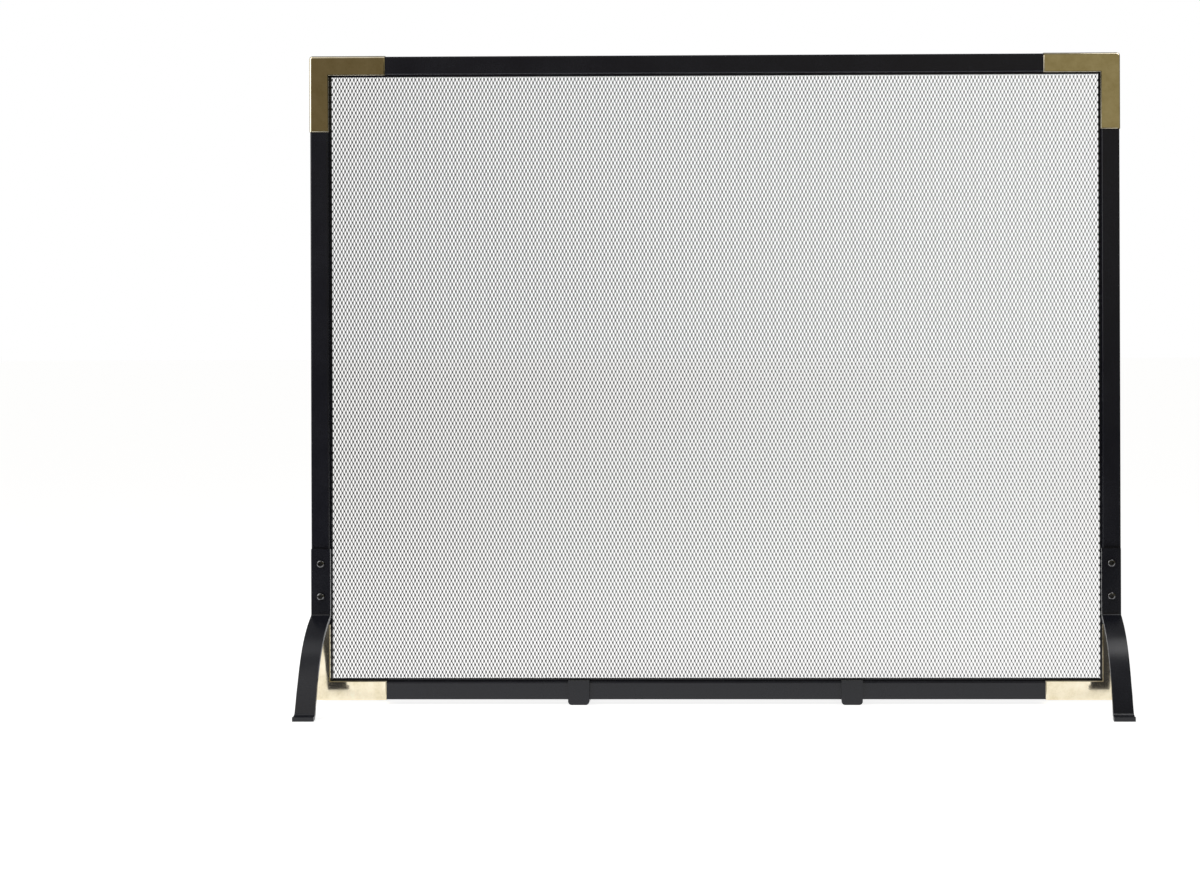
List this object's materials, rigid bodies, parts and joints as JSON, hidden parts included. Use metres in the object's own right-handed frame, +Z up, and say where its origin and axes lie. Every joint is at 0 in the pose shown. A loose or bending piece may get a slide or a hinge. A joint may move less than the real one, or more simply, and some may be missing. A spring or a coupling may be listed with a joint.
{
  "type": "fireplace screen",
  "caption": "Free-standing single-panel fireplace screen: square-tube frame, metal mesh, brass corner caps, arched legs bolted to the front and rest feet behind the bottom rail.",
  "frame": {"origin": "on the hearth, at the centre of the ground that the whole screen covers; the frame itself stands 13 mm behind it", "axes": "+X to the right as seen from the room, +Y back towards the fire, +Z up"},
  "size_m": [0.9918, 0.2166, 0.7949],
  "materials": {
    "frame_black": "fine satin black powder coat",
    "leg_black": "satin black powder coat on flat bar",
    "mesh_black": "heat-proof black coat on expanded mesh",
    "brass": "polished, lightly brushed, lacquered",
    "fastener_black": "black oxide, slightly glossy"
  },
  "bodies": {
    "root": {"top_rail": "frame_black", "bottom_rail": "frame_black", "left_stile": "frame_black", "right_stile": "frame_black", "mesh_channel_top": "frame_black", "mesh_channel_bottom": "frame_black", "mesh_channel_left": "frame_black", "mesh_channel_right": "frame_black", "mesh_panel": "mesh_black", "corner_cap_top_left": "brass", "corner_cap_top_right": "brass", "corner_cap_bottom_left": "brass", "corner_cap_bottom_right": "brass", "left_leg": "leg_black", "right_leg": "leg_black", "left_lower_bolt": "fastener_black", "left_upper_bolt": "fastener_black", "right_lower_bolt": "fastener_black", "right_upper_bolt": "fastener_black", "left_lower_washer": "fastener_black", "left_upper_washer": "fastener_black", "right_lower_washer": "fastener_black", "right_upper_washer": "fastener_black", "left_lower_nut": "fastener_black", "left_upper_nut": "fastener_black", "right_lower_nut": "fastener_black", "right_upper_nut": "fastener_black", "left_rest_foot": "leg_black", "right_rest_foot": "leg_black", "left_rest_foot_screw": "fastener_black", "right_rest_foot_screw": "fastener_black"}
  },
  "joints": []
}
